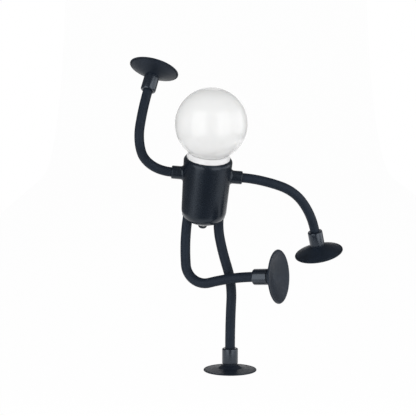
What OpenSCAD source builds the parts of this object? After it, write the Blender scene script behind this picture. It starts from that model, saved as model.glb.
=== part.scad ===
// Poseable figure night light: an opal globe on a cup-shaped body with four bendable limbs,
// each ending in a suction cup. It stands on one foot, with its other limbs bent.
// The origin is the middle of the standing foot's lip, +Z is up and -Y is the front.

/* [Globe] */
// Outside diameter of the opal globe
globe_d = 60; // [50:1:70]
// Wall of the globe
globe_wall = 1.6; // [1:0.1:2.5]
// Height of the white collar above the body's rim
collar_rise = 4.7; // [3:0.1:8]
// Diameter of the collar where the globe sits on it
collar_top_d = 34.2; // [32.8:0.2:35.6]

/* [Body] */
// Height of the cup-shaped body
body_height = 57.8; // [52:0.2:70]
// Outside diameter at the rim
rim_d = 40.4; // [39.4:0.2:44]
// Outside diameter above the rounded bottom
base_d = 37.5; // [36.5:0.5:39]
// Radius of the rounded bottom edge
corner_r = 11; // [8:0.5:12]
// Radius of the rounded rim
rim_round = 3; // [2:0.2:4]
// Wall of the body
body_wall = 2; // [1.6:0.1:2.4]
// Depth of the shoulders below the rim
shoulder_drop = 15.8; // [14.8:0.2:20]
// Distance of each hip from the body's axis
hip_offset = 13.2; // [12.4:0.2:13.6]
// Outward lean of each hip socket, in degrees
hip_splay = 3; // [0:0.5:6]
// Depth of each hip socket
hip_depth = 10; // [7:0.5:11]

/* [Inside] */
// Depth of the collar inside the body
collar_depth = 8; // [6:0.5:9]
// Thickness of the lamp carrier's plate
carrier_plate = 1.8; // [1.4:0.1:2.4]
// Thickness of the heat spreader
spreader_thickness = 2; // [1:0.2:2.4]
// Thickness of the lamp board and of the control board
board_thickness = 1.6; // [1:0.2:2]
// Number of light chips on the lamp board
chip_count = 12; // [6:1:16]
// Diameter of the battery cell
battery_d = 16; // [12:0.5:16.5]
// Length of the battery cell
battery_length = 31; // [20:1:34]
// Height of the control board above the body's bottom
board_height = 6.5; // [6.3:0.1:7]

/* [Switch] */
// Diameter of the push button
button_d = 7; // [5:0.2:7.6]
// Height of the button's bezel below the body
bezel_height = 3; // [0.8:0.1:4]
// Height that the button stands out below its bezel
button_rise = 2.8; // [2:0.2:4]
// Travel of the button
button_travel = 1; // [0.4:0.1:1.2]

/* [Arms] */
// Outside diameter of an arm
arm_d = 8; // [6.5:0.1:8.2]
// Outside diameter of a shoulder sleeve
sleeve_d = 11.1; // [10.4:0.1:12]
// Length of a shoulder sleeve outside the body
sleeve_length = 9.8; // [7:0.2:14]
// Length of an arm's root, which bends at the shoulder
arm_root_length = 14; // [10:0.5:30]
// Length of an arm's upper stretch
arm_upper_length = 19.5; // [10:0.5:40]
// Length of an arm's elbow
arm_elbow_length = 24; // [16:0.5:40]
// Length of an arm's lower stretch
arm_lower_length = 31.5; // [16:0.5:50]
// Diameter of a hand's ferrule
hand_ferrule_d = 12.6; // [10.8:0.1:13]
// Length of a hand's ferrule
hand_ferrule_length = 12.5; // [11:0.5:16]
// Diameter of a hand's suction cup
hand_cup_d = 41.5; // [36:0.5:46]

/* [Legs] */
// Outside diameter of a leg
leg_d = 8.4; // [7:0.1:8.4]
// Length of a leg's hip stretch
leg_hip_length = 15; // [10:0.5:30]
// Length of a leg's upper stretch
leg_upper_length = 23.5; // [10:0.5:40]
// Length of a leg's knee
leg_knee_length = 29.5; // [20:0.5:40]
// Length of a leg's lower stretch
leg_lower_length = 40.4; // [20:0.2:60]
// Diameter of a foot's ferrule
foot_ferrule_d = 13.5; // [11.4:0.1:14]
// Length of a foot's ferrule
foot_ferrule_length = 13.4; // [11:0.5:16]
// Diameter of a foot's suction cup
foot_cup_d = 45; // [40:1:50]

/* [Cups] */
// Height of a hand's suction cup
hand_cup_height = 8.4; // [7.6:0.2:11]
// Height of the kicking foot's suction cup
free_cup_height = 9.5; // [8:0.5:11]
// Height of the suction cup that is pressed on the floor
pressed_cup_height = 6; // [5.5:0.1:7]
// Depth of a free suction cup's hollow
free_cup_depth = 3.8; // [2:0.2:3.9]
// Depth of the pressed suction cup's hollow
pressed_cup_depth = 1.5; // [1:0.1:1.8]
// Width of the flat lip
cup_lip = 1.4; // [1:0.1:2.5]
// Flare of a free suction cup's back: 1 is a plain cone and more is a bell
free_flare = 1.15; // [1:0.05:1.5]
// Flare of the pressed suction cup's back
pressed_flare = 2.6; // [2:0.1:3]

/* [Pose] */
// Bend of the left arm's root, up and back, in degrees
left_root_bend = [27.3, -11]; // [-110:0.1:110]
// Bend of the left arm's upper stretch
left_upper_bend = [39.7, -15.9]; // [-110:0.1:110]
// Bend of the left elbow
left_elbow_bend = [36.3, 48.2]; // [-110:0.1:110]
// Bend of the left arm's lower stretch
left_lower_bend = [7.7, 4.8]; // [-110:0.1:110]
// Bend of the right arm's root, down and back, in degrees
right_root_bend = [8.6, 2.6]; // [-110:0.1:110]
// Bend of the right arm's upper stretch
right_upper_bend = [10.5, 6.6]; // [-110:0.1:110]
// Bend of the right elbow
right_elbow_bend = [31.2, 3.9]; // [-110:0.1:110]
// Bend of the right arm's lower stretch
right_lower_bend = [24.4, -8.5]; // [-110:0.1:110]
// Bend of the kicking leg's hip, left and back, in degrees
kick_hip_bend = [-4.3, -19.1]; // [-110:0.1:110]
// Bend of the kicking leg's upper stretch
kick_upper_bend = [-7.2, -6.4]; // [-110:0.1:110]
// Bend of the kicking leg's knee
kick_knee_bend = [-94.1, -32.9]; // [-110:0.1:110]
// Bend of the kicking leg's lower stretch
kick_lower_bend = [14.2, -2]; // [-110:0.1:110]
// Bend of the standing leg's lower stretch, from the foot up, right and back, in degrees
stand_lower_bend = [2.8, 0.5]; // [-110:0.1:110]
// Bend of the standing leg's knee
stand_knee_bend = [-20.1, 9]; // [-110:0.1:110]
// Bend of the standing leg's upper stretch
stand_upper_bend = [6, -1.9]; // [-110:0.1:110]
// Bend of the standing leg's hip
stand_hip_bend = [12.5, -24.1]; // [-110:0.1:110]
// Turn of the body about the standing leg's hip, in degrees
body_turn = -2.7; // [-30:0.1:30]

/* [Hidden] */
$fn = 64;
// Gap between pieces that fit into one another
fit = 0.05;
// Extra width of a hole that something only passes through
hole_room = 0.4;
// Overrun of a cut past the face that it opens
past = 1;
black = "#20242b";
dark = "#282c34";
white = "#f2f2ef";

// Bores and cores that run through every limb
core_d = 2;
core_bore_d = 2.4;
core_sides = 8;
core_rings = 10;
// Step and lap of a limb's straight ends, and the seam between two stretches
end_step = 0.1;
end_lap = 0.6;
seam = 0.12;

// Heights in the body, from its bottom
shoulder_z = body_height - shoulder_drop;
carrier_top = body_height - collar_depth;
carrier_bottom = carrier_top - carrier_plate;
spreader_top = carrier_top + spreader_thickness;
lamp_board_top = spreader_top + board_thickness;
crease_z = body_height + collar_rise;
globe_z = crease_z + sqrt(pow(globe_d / 2, 2) - pow(collar_top_d / 2, 2));
board_top = board_height + board_thickness;

// Radii in the body
collar_wall = 1.1;
collar_bore_r = collar_top_d / 2 - collar_wall;
collar_foot_wall = 2.6;
collar_foot_r = body_radius(carrier_top) - body_wall - fit - collar_foot_wall;
neck_r = collar_bore_r - 2 * fit;
neck_depth = 4;
neck_z = crease_z - neck_depth;
plate_gap = 0.3;
spreader_r = collar_foot_r - plate_gap;
battery_cup_wall = 1.2;
battery_cup_r = battery_d / 2 + 2 * fit + battery_cup_wall;
battery_cup_height = battery_length + 2 * fit + battery_cup_wall;
hip_wall = 1.2;

// Pillars that carry the lamp carrier, with their screws
pillar_d = 5;
pillar_angles = [50, 130, 270];
screw_d = 1.9;
screw_head_d = 3.6;
pillar_ring_r = spreader_r - plate_gap - screw_head_d / 2;
pillar_room = 0.4;
screw_head_height = 1.3;
lamp_screw_depth = 8;
board_screw_depth = 3;
screw_tip_room = 0.5;
board_boss_d = 4;
board_boss_y = 6.8;

// Control board, socket and switch
board_width = 11.2;
board_front = -10;
board_back = 13.6;
socket_width = 8.9;
socket_height = 3.2;
socket_length = 7.8;
socket_wall = 0.3;
socket_gap = 0.35;
socket_back = 1.5;
tongue_width = 6.6;
tongue_height = 0.7;
switch_side = 6;
nub_reach = 0.4;
switch_roof = 0.5;
switch_height = nub_reach + button_travel + switch_roof;
lead_d = 1.2;
lead_x = 5;
lead_y = -9;

// Button and its bezel
bezel_lip = 1.2;
bezel_d = button_d + 2 * bezel_lip;
bezel_end_wall = 0.5;
bezel_end_d = button_d + 2 * bezel_end_wall;
bezel_wall = 0.7;
button_flange_d = button_d + 2 * bezel_wall;
button_flange = 0.8;
nub_d = 2.6;
switch_bore_d = nub_d + hole_room;

// Shoulder sleeve: its spigot goes through the body's wall and carries a nut
spigot_d = 7;
nut_thickness = 2.2;
nut_wall = 2;
nut_width = spigot_d + 2 * nut_wall;
nut_gap = 0.5;
nut_seat = sqrt(pow(body_radius(shoulder_z) - body_wall, 2) - pow(nut_width / 2, 2));
spigot_end = nut_seat - nut_gap - nut_thickness;
sleeve_end = body_radius(shoulder_z) + sleeve_length;
sleeve_foot_flare = 1.3;
sleeve_foot_d = sleeve_d + 2 * sleeve_foot_flare;
sleeve_foot_height = 0.8;
arm_stop = 0.4;
arm_socket = sleeve_length - arm_stop;

// Ferrules: a socket for the limb on one side and for the cup's stem on the other
ferrule_socket = 8;
ferrule_round = 1.6;
ferrule_edge = 0.5;
stem_d = 6.6;
stem_length = 3.4;

// Suction cups: a neck under the ferrule that flares to a thin rim
cup_neck_height = 0.8;
cup_rim = 1;
flare_steps = 9;

// Frames: a rigid placement is a 4 by 4 matrix
function shift(v) = [[1, 0, 0, v.x], [0, 1, 0, v.y], [0, 0, 1, v.z], [0, 0, 0, 1]];
function turn_y(a) = [[cos(a), 0, sin(a), 0], [0, 1, 0, 0], [-sin(a), 0, cos(a), 0], [0, 0, 0, 1]];
function turn_z(a) = [[cos(a), -sin(a), 0, 0], [sin(a), cos(a), 0, 0], [0, 0, 1, 0], [0, 0, 0, 1]];
function part_of(m, row) = m[0][row] * m[0][3] + m[1][row] * m[1][3] + m[2][row] * m[2][3];
function inverse(m) = [
    [m[0][0], m[1][0], m[2][0], -part_of(m, 0)],
    [m[0][1], m[1][1], m[2][1], -part_of(m, 1)],
    [m[0][2], m[1][2], m[2][2], -part_of(m, 2)],
    [0, 0, 0, 1],
];

// A limb is a chain of stretches, each of one length and one even curvature
// and each bend is two leans, whose norm is the angle and whose direction is the side
function bend_side(bend) = atan2(bend.y, bend.x);
function bend_radius(length, bend) = length / (norm(bend) * PI / 180);
function arc_move(radius, angle) =
    shift([radius * (1 - cos(angle)), 0, radius * sin(angle)]) * turn_y(angle);
function zone_move(length, bend) =
    norm(bend) == 0
        ? shift([0, 0, length])
        : turn_z(bend_side(bend)) * arc_move(bend_radius(length, bend), norm(bend))
            * turn_z(-bend_side(bend));
function frame_at(limb, n) =
    n == 0
        ? limb[0]
        : frame_at(limb, n - 1) * zone_move(limb[1][n - 1], limb[2][n - 1]);

// Radius of the tapered body at a height
function body_radius(z) =
    base_d / 2 + (rim_d - base_d) / 2 * (z - corner_r) / (body_height - rim_round - corner_r);

// The standing leg rises from its ferrule, and the body sits on its top
stand_leg = [
    shift([0, 0, pressed_cup_height + foot_ferrule_length]),
    [leg_lower_length, leg_knee_length, leg_upper_length, leg_hip_length],
    [stand_lower_bend, stand_knee_bend, stand_upper_bend, stand_hip_bend],
];
hip_in_body = shift([hip_offset, 0, 0]) * turn_y(-hip_splay);
body_frame = frame_at(stand_leg, 4) * turn_z(body_turn) * inverse(hip_in_body);
kick_leg = [
    body_frame * shift([-hip_offset, 0, 0]) * turn_y(180 + hip_splay),
    [leg_hip_length, leg_upper_length, leg_knee_length, leg_lower_length],
    [kick_hip_bend, kick_upper_bend, kick_knee_bend, kick_lower_bend],
];
arm_lengths = [arm_root_length, arm_upper_length, arm_elbow_length, arm_lower_length];
left_arm = [
    body_frame * shift([-sleeve_end, 0, shoulder_z]) * turn_y(-90),
    arm_lengths,
    [left_root_bend, left_upper_bend, left_elbow_bend, left_lower_bend],
];
right_arm = [
    body_frame * shift([sleeve_end, 0, shoulder_z]) * turn_y(90),
    arm_lengths,
    [right_root_bend, right_upper_bend, right_elbow_bend, right_lower_bend],
];

module in_body() multmatrix(body_frame) children();

module at(limb, n) multmatrix(frame_at(limb, n)) children();

module ring(outer_d, bore_d) {
    difference() {
        circle(d = outer_d);
        if (bore_d > 0) circle(d = bore_d);
    }
}

module pipe(length, outer_d, bore_d) {
    linear_extrude(length) ring(outer_d, bore_d);
}

// One stretch of a limb, bent evenly from the frame that it starts in to a seam before the next stretch
module bent_pipe(length, bend, outer_d, bore_d) {
    if (norm(bend) == 0) {
        pipe(length - seam, outer_d, bore_d);
    } else {
        radius = bend_radius(length, bend);
        rotate([0, 0, bend_side(bend)])
            translate([radius, 0, 0])
                rotate([90, 0, 180])
                    rotate_extrude(angle = norm(bend) * (1 - seam / length))
                        translate([radius, 0])
                            ring(outer_d, bore_d);
    }
}

// A straight end of a limb, stepped down a little, that starts inside the stretch before it
module limb_end(length, outer_d, bore_d) {
    translate([0, 0, -end_lap]) pipe(length + end_lap, outer_d - 2 * end_step, bore_d + 2 * end_step);
}

// Stretch n of a limb, with straight ends that reach into what holds it
module limb_zone(limb, n, outer_d, bore_d, before = 0, after = 0) {
    at(limb, n) bent_pipe(limb[1][n], limb[2][n], outer_d, bore_d);
    if (before > 0) at(limb, n) rotate([180, 0, 0]) limb_end(before, outer_d, bore_d);
    if (after > 0) at(limb, n + 1) limb_end(after, outer_d, bore_d);
}

// Frames along a whole limb, from the end of its straight start to the end of its straight finish
function frames_along(limb, before, after) = concat(
    [frame_at(limb, 0) * shift([0, 0, -before])],
    [
        for (n = [0 : 3], k = [0 : core_rings - 1])
            frame_at(limb, n) * zone_move(limb[1][n] * k / core_rings, limb[2][n] * k / core_rings),
    ],
    [frame_at(limb, 4), frame_at(limb, 4) * shift([0, 0, after])]
);

// The bendable wire through the whole limb, swept along its frames
module limb_core(limb, before, after) {
    frames = frames_along(limb, before, after);
    rings = len(frames);
    points = [
        for (frame = frames, s = [0 : core_sides - 1])
            let (
                a = 360 / core_sides * s,
                p = frame * [core_d / 2 * cos(a), core_d / 2 * sin(a), 0, 1]
            )
                [p.x, p.y, p.z],
    ];
    walls = [
        for (r = [0 : rings - 2], s = [0 : core_sides - 1])
            let (here = r * core_sides, next = (s + 1) % core_sides)
                each [
                    [here + s, here + core_sides + next, here + next],
                    [here + s, here + core_sides + s, here + core_sides + next],
                ],
    ];
    start_cap = [for (s = [0 : core_sides - 1]) s];
    end_cap = [for (s = [core_sides - 1 : -1 : 0]) (rings - 1) * core_sides + s];
    color("silver") polyhedron(points, concat(walls, [start_cap, end_cap]));
}

// A ferrule along +Z, with the limb's socket at its start
module ferrule(outer_d, length, limb_d) {
    color(dark) rotate_extrude() difference() {
        union() {
            translate([0, ferrule_round]) square([outer_d / 2, length - ferrule_round - ferrule_edge]);
            square([outer_d / 2 - ferrule_round, length]);
            translate([0, ferrule_round]) square([outer_d / 2 - ferrule_edge, length - ferrule_round]);
            translate([outer_d / 2 - ferrule_round, ferrule_round]) circle(r = ferrule_round);
            translate([outer_d / 2 - ferrule_edge, length - ferrule_edge]) circle(r = ferrule_edge);
        }
        translate([-outer_d, -past]) square([outer_d, length + 2 * past]);
        translate([0, -past]) square([limb_d / 2 + fit, ferrule_socket + past]);
        translate([0, length - stem_length - fit]) square([stem_d / 2 + fit, stem_length + fit + past]);
    }
}

// A suction cup along +Z, from the end of its ferrule to its lip, with a stem that reaches back
module suction_cup(outer_d, ferrule_d, height, depth, flare) {
    rim_r = outer_d / 2;
    neck = ferrule_d / 2 - ferrule_edge;
    hollow_r = rim_r - cup_lip;
    back = [
        for (k = [0 : flare_steps])
            let (t = k / flare_steps)
                [
                    neck + (rim_r - neck) * t,
                    cup_neck_height + (height - cup_rim - cup_neck_height) * (1 - pow(1 - t, flare)),
                ],
    ];
    hollow = [
        for (k = [0 : flare_steps])
            let (t = k / flare_steps)
                [hollow_r * (1 - t), height - depth * (1 - pow(1 - t, 2))],
    ];
    color(black) rotate_extrude()
        polygon(concat(
            [[0, -stem_length], [stem_d / 2, -stem_length], [stem_d / 2, 0], [neck, 0]],
            back,
            [[rim_r, height]],
            hollow
        ));
}

// Outline of the cup-shaped body, drawn in by an inset, up to a height
module cup_outline(inset, top) {
    floor_r = base_d / 2 - corner_r;
    intersection() {
        square([rim_d, top]);
        union() {
            translate([floor_r, corner_r]) circle(r = corner_r - inset);
            polygon([
                [0, inset],
                [floor_r, inset],
                [floor_r, corner_r],
                [base_d / 2 - inset, corner_r],
                [body_radius(top) - inset, top],
                [0, top],
            ]);
        }
    }
}

module body_outline() {
    cup_outline(0, body_height - rim_round);
    intersection() {
        translate([rim_d / 2 - rim_round, body_height - rim_round]) circle(r = rim_round);
        square([rim_d, body_height]);
    }
    square([rim_d / 2 - rim_round, body_height]);
}

module body_solid(inset) {
    rotate_extrude() cup_outline(inset, body_height - rim_round);
}

module at_pillars() {
    for (a = pillar_angles) rotate([0, 0, a]) translate([pillar_ring_r, 0, 0]) children();
}

module at_board_bosses() {
    for (y = [-board_boss_y, board_boss_y]) translate([0, y, 0]) children();
}

module at_hips() {
    for (side = [-1, 1]) translate([side * hip_offset, 0, 0]) rotate([0, -side * hip_splay, 0]) children();
}

// Pillars, bosses and hip sockets that stand on the body's floor, inside its wall
module body_posts() {
    intersection() {
        union() {
            at_pillars() cylinder(d = pillar_d, h = carrier_bottom);
            at_board_bosses() cylinder(d = board_boss_d, h = board_height);
            at_hips() cylinder(d = leg_d + 2 * hip_wall, h = hip_depth + hip_wall);
        }
        body_solid(body_wall / 2);
    }
}

// Room for the battery cup between the pillars
module battery_room() {
    translate([0, 0, carrier_top - battery_cup_height - pillar_room])
        cylinder(r = battery_cup_r + pillar_room, h = battery_cup_height);
}

module body_cuts() {
    at_hips() translate([0, 0, -body_wall]) cylinder(d = leg_d + 2 * fit, h = hip_depth + fit + body_wall);
    translate([0, 0, shoulder_z]) rotate([0, 90, 0])
        cylinder(d = spigot_d + 2 * fit, h = 2 * rim_d, center = true);
    translate([0, 0, -past]) cylinder(d = button_flange_d + 2 * fit, h = body_wall + 2 * past);
    translate([0, base_d / 2, board_top + socket_height / 2])
        cube([socket_width + 2 * socket_gap, corner_r, socket_height + 2 * socket_gap], center = true);
    at_pillars() translate([0, 0, carrier_bottom - lamp_screw_depth])
        cylinder(d = screw_d + 2 * fit, h = lamp_screw_depth + past);
    at_board_bosses() translate([0, 0, board_height - board_screw_depth])
        cylinder(d = screw_d + 2 * fit, h = board_screw_depth + past);
}

module body_shell() {
    color(black) in_body() difference() {
        union() {
            rotate_extrude() difference() {
                body_outline();
                cup_outline(body_wall, body_height + past);
            }
            difference() {
                body_posts();
                battery_room();
            }
        }
        body_cuts();
    }
}

module globe() {
    color(white, 0.9) in_body() {
        difference() {
            translate([0, 0, globe_z]) sphere(d = globe_d);
            translate([0, 0, globe_z]) sphere(d = globe_d - 2 * globe_wall);
            translate([0, 0, crease_z - globe_d]) cylinder(d = globe_d, h = globe_d);
            translate([0, 0, crease_z - past]) cylinder(r = neck_r - globe_wall, h = globe_wall + 2 * past);
        }
        translate([0, 0, neck_z]) pipe(neck_depth, 2 * neck_r, 2 * (neck_r - globe_wall));
    }
}

// The collar wedges into the tapered mouth of the body and rises to the globe, whose neck rests on a shelf
module globe_collar() {
    color(white) in_body() rotate_extrude() difference() {
        union() {
            intersection() {
                cup_outline(body_wall + fit, body_height);
                translate([0, carrier_top]) square([rim_d, collar_depth]);
            }
            polygon([
                [0, body_height],
                [body_radius(body_height) - body_wall - fit, body_height],
                [collar_top_d / 2, crease_z],
                [0, crease_z],
            ]);
        }
        square([collar_foot_r, crease_z + past]);
        translate([0, neck_z - fit]) square([collar_bore_r, neck_depth + past]);
    }
}

// Holes for the three long screws and the two leads through a stack of plates
module plate_holes(bottom, height) {
    at_pillars() translate([0, 0, bottom - past]) cylinder(d = screw_d + hole_room, h = height + 2 * past);
    for (x = [-lead_x, lead_x])
        translate([x, lead_y, bottom - past]) cylinder(d = lead_d + hole_room, h = height + 2 * past);
}

module lamp_carrier() {
    color("dimgray") in_body() difference() {
        union() {
            translate([0, 0, carrier_bottom])
                cylinder(r = body_radius(carrier_bottom) - body_wall - 4 * fit, h = carrier_plate);
            translate([0, 0, carrier_top - battery_cup_height])
                cylinder(r = battery_cup_r, h = battery_cup_height);
        }
        translate([0, 0, carrier_top - battery_cup_height + battery_cup_wall])
            cylinder(d = battery_d + 4 * fit, h = battery_cup_height);
        plate_holes(carrier_bottom, carrier_plate);
    }
}

module heat_spreader() {
    color("silver") in_body() difference() {
        translate([0, 0, carrier_top]) cylinder(r = spreader_r, h = spreader_thickness);
        plate_holes(carrier_top, spreader_thickness);
    }
}

module lamp_board() {
    color("whitesmoke") in_body() difference() {
        translate([0, 0, spreader_top]) cylinder(r = spreader_r, h = board_thickness);
        at_pillars() translate([0, 0, spreader_top - past])
            cylinder(d = screw_d + hole_room, h = board_thickness + 2 * past);
    }
}

module light_chips() {
    chip = [2.8, 2.2, 0.7];
    ring_r = 8.5;
    color("khaki") in_body()
        for (k = [0 : chip_count - 1])
            rotate([0, 0, 360 / chip_count * k])
                translate([ring_r - chip.x / 2, -chip.y / 2, lamp_board_top]) cube(chip);
}

// A screw along -Z under its head, which sits at the frame's height
module screw(length) {
    cylinder(d = screw_head_d, h = screw_head_height);
    translate([0, 0, -length]) cylinder(d = screw_d, h = length);
}

module lamp_screws() {
    length = lamp_board_top - carrier_bottom + lamp_screw_depth - screw_tip_room;
    color("gray") in_body() at_pillars() translate([0, 0, lamp_board_top]) screw(length);
}

module battery_cell() {
    terminal_height = 0.8;
    terminal_d = battery_d / 3;
    color("steelblue") in_body() translate([0, 0, carrier_top - battery_length - fit]) {
        cylinder(d = battery_d, h = battery_length - terminal_height);
        cylinder(d = terminal_d, h = battery_length);
    }
}

module control_board() {
    color("darkgreen") in_body() difference() {
        translate([-board_width / 2, board_front, board_height])
            cube([board_width, board_back - board_front, board_thickness]);
        at_board_bosses() translate([0, 0, board_height - past])
            cylinder(d = screw_d + hole_room, h = board_thickness + 2 * past);
    }
}

module board_screws() {
    length = board_thickness + board_screw_depth - screw_tip_room;
    color("gray") in_body() at_board_bosses() translate([0, 0, board_top]) screw(length);
}

module power_switch() {
    color(dark) in_body() difference() {
        translate([-switch_side / 2, -switch_side / 2, board_height - switch_height])
            cube([switch_side, switch_side, switch_height]);
        translate([0, 0, board_height - switch_height - past])
            cylinder(d = switch_bore_d, h = nub_reach + button_travel + 2 * fit + past);
    }
}

// The socket's shell is open at the body's rear face, with a flat tongue inside
module charging_socket() {
    color("silver") in_body()
        translate([0, body_radius(corner_r) - socket_length - socket_gap, board_top + socket_height / 2])
            rotate([-90, 0, 0]) {
                difference() {
                    linear_extrude(socket_length) socket_outline(0);
                    translate([0, 0, socket_back]) linear_extrude(socket_length) socket_outline(socket_wall);
                }
                translate([-tongue_width / 2, -tongue_height / 2, socket_back / 2])
                    cube([tongue_width, tongue_height, socket_length - socket_back]);
            }
}

// A flat slot with round ends
module socket_outline(inset) {
    end_r = socket_height / 2;
    for (side = [-1, 1]) translate([side * (socket_width / 2 - end_r), 0]) circle(r = end_r - inset);
    square([socket_width - 2 * end_r, socket_height - 2 * inset], center = true);
}

module lamp_leads() {
    color("firebrick") in_body()
        for (x = [-lead_x, lead_x])
            translate([x, lead_y, board_top]) cylinder(d = lead_d, h = spreader_top - board_top);
}

module button_bezel() {
    color("lightgray") in_body() difference() {
        union() {
            translate([0, 0, -bezel_height]) cylinder(d1 = bezel_end_d, d2 = bezel_d, h = bezel_height);
            cylinder(d = button_flange_d, h = body_wall);
        }
        translate([0, 0, -bezel_height - past])
            cylinder(d = button_d + 2 * fit, h = bezel_height + body_wall + 2 * past);
    }
}

// The button's dome stands out below, and its nub reaches into the switch
module push_button() {
    dome_r = button_d / 2;
    flange_z = body_wall + fit;
    nub_top = board_height - switch_height + nub_reach;
    color(black) in_body() {
        translate([0, 0, -bezel_height]) cylinder(d = button_d, h = bezel_height + flange_z);
        translate([0, 0, -bezel_height]) button_dome(dome_r);
        translate([0, 0, flange_z]) cylinder(d = button_flange_d, h = button_flange);
        cylinder(d = nub_d, h = nub_top);
    }
}

// A cap of a sphere, as wide as the button and as high as it stands out
module button_dome(dome_r) {
    ball_r = (pow(dome_r, 2) + pow(button_rise, 2)) / (2 * button_rise);
    rotate_extrude() intersection() {
        translate([0, ball_r - button_rise]) circle(r = ball_r);
        translate([0, -button_rise]) square([dome_r, button_rise]);
    }
}

// A shoulder sleeve along +X, with a flared foot and a saddle cut that fits the body
module shoulder_sleeve() {
    outside = body_radius(shoulder_z);
    along_arm = [0, 90, 0];
    color(black) difference() {
        union() {
            difference() {
                translate([outside - body_wall, 0, shoulder_z]) rotate(along_arm) {
                    cylinder(d = sleeve_d, h = sleeve_length + body_wall);
                    cylinder(d1 = sleeve_foot_d, d2 = sleeve_d, h = body_wall + sleeve_foot_height);
                }
                body_solid(-fit);
            }
            translate([spigot_end, 0, shoulder_z]) rotate(along_arm)
                cylinder(d = spigot_d, h = sleeve_end - spigot_end);
        }
        translate([sleeve_end - arm_socket - fit, 0, shoulder_z]) rotate(along_arm)
            cylinder(d = arm_d + 2 * fit, h = arm_socket + fit + past);
        translate([spigot_end - past, 0, shoulder_z]) rotate(along_arm)
            cylinder(d = core_bore_d, h = sleeve_end - spigot_end);
    }
}

module shoulder_nut() {
    color("silver") translate([spigot_end, 0, shoulder_z]) rotate([0, 90, 0]) difference() {
        rotate([0, 0, 30]) cylinder(d = nut_width, h = nut_thickness, $fn = 6);
        translate([0, 0, -past]) cylinder(d = spigot_d + 2 * fit, h = nut_thickness + 2 * past);
    }
}

module left_shoulder_sleeve() in_body() mirror([1, 0, 0]) shoulder_sleeve();
module left_shoulder_nut() in_body() mirror([1, 0, 0]) shoulder_nut();
module right_shoulder_sleeve() in_body() shoulder_sleeve();
module right_shoulder_nut() in_body() shoulder_nut();

// An arm's stretches in order, with its root in the shoulder and its end in the ferrule
module arm_zone(limb, n) {
    color(dark) limb_zone(
        limb, n, arm_d, core_bore_d,
        before = n == 0 ? arm_socket : 0,
        after = n == 3 ? ferrule_socket - fit : 0
    );
}

module hand_ferrule(limb) at(limb, 4) ferrule(hand_ferrule_d, hand_ferrule_length, arm_d);
module hand_cup(limb)
    at(limb, 4) translate([0, 0, hand_ferrule_length])
        suction_cup(hand_cup_d, hand_ferrule_d, hand_cup_height, free_cup_depth, free_flare);

module left_arm_root() arm_zone(left_arm, 0);
module left_arm_upper() arm_zone(left_arm, 1);
module left_arm_elbow() arm_zone(left_arm, 2);
module left_arm_lower() arm_zone(left_arm, 3);
module left_arm_core() limb_core(left_arm, arm_socket, ferrule_socket - 2 * fit);
module left_hand_ferrule() hand_ferrule(left_arm);
module left_hand_cup() hand_cup(left_arm);

module right_arm_root() arm_zone(right_arm, 0);
module right_arm_upper() arm_zone(right_arm, 1);
module right_arm_elbow() arm_zone(right_arm, 2);
module right_arm_lower() arm_zone(right_arm, 3);
module right_arm_core() limb_core(right_arm, arm_socket, ferrule_socket - 2 * fit);
module right_hand_ferrule() hand_ferrule(right_arm);
module right_hand_cup() hand_cup(right_arm);

module kick_leg_zone(n) {
    color(dark) limb_zone(
        kick_leg, n, leg_d, core_bore_d,
        before = n == 0 ? hip_depth : 0,
        after = n == 3 ? ferrule_socket - fit : 0
    );
}

module kick_leg_hip() kick_leg_zone(0);
module kick_leg_upper() kick_leg_zone(1);
module kick_leg_knee() kick_leg_zone(2);
module kick_leg_lower() kick_leg_zone(3);
module kick_leg_core() limb_core(kick_leg, hip_depth, ferrule_socket - 2 * fit);
module kick_foot_ferrule() at(kick_leg, 4) ferrule(foot_ferrule_d, foot_ferrule_length, leg_d);
module kick_foot_cup()
    at(kick_leg, 4) translate([0, 0, foot_ferrule_length])
        suction_cup(foot_cup_d, foot_ferrule_d, free_cup_height, free_cup_depth, free_flare);

// The standing leg runs the other way, from the ferrule on the floor up to the hip
module stand_leg_zone(n) {
    color(dark) limb_zone(
        stand_leg, n, leg_d, core_bore_d,
        before = n == 0 ? ferrule_socket - fit : 0,
        after = n == 3 ? hip_depth : 0
    );
}

module stand_leg_hip() stand_leg_zone(3);
module stand_leg_upper() stand_leg_zone(2);
module stand_leg_knee() stand_leg_zone(1);
module stand_leg_lower() stand_leg_zone(0);
module stand_leg_core() limb_core(stand_leg, ferrule_socket - 2 * fit, hip_depth);
module stand_foot_ferrule()
    translate([0, 0, pressed_cup_height + foot_ferrule_length]) rotate([180, 0, 0])
        ferrule(foot_ferrule_d, foot_ferrule_length, leg_d);
module stand_foot_cup()
    translate([0, 0, pressed_cup_height]) rotate([180, 0, 0])
        suction_cup(foot_cup_d, foot_ferrule_d, pressed_cup_height, pressed_cup_depth, pressed_flare);

body_shell();
globe();
globe_collar();
lamp_carrier();
heat_spreader();
lamp_board();
light_chips();
lamp_screws();
battery_cell();
control_board();
board_screws();
power_switch();
charging_socket();
lamp_leads();
button_bezel();
push_button();
left_shoulder_sleeve();
left_shoulder_nut();
right_shoulder_sleeve();
right_shoulder_nut();
left_arm_root();
left_arm_upper();
left_arm_elbow();
left_arm_lower();
left_arm_core();
left_hand_ferrule();
left_hand_cup();
right_arm_root();
right_arm_upper();
right_arm_elbow();
right_arm_lower();
right_arm_core();
right_hand_ferrule();
right_hand_cup();
kick_leg_hip();
kick_leg_upper();
kick_leg_knee();
kick_leg_lower();
kick_leg_core();
kick_foot_ferrule();
kick_foot_cup();
stand_leg_hip();
stand_leg_upper();
stand_leg_knee();
stand_leg_lower();
stand_leg_core();
stand_foot_ferrule();
stand_foot_cup();
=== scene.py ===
"""Looks of a poseable figure night light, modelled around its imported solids."""

import math

import bpy
from mathutils import Matrix, Vector


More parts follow.
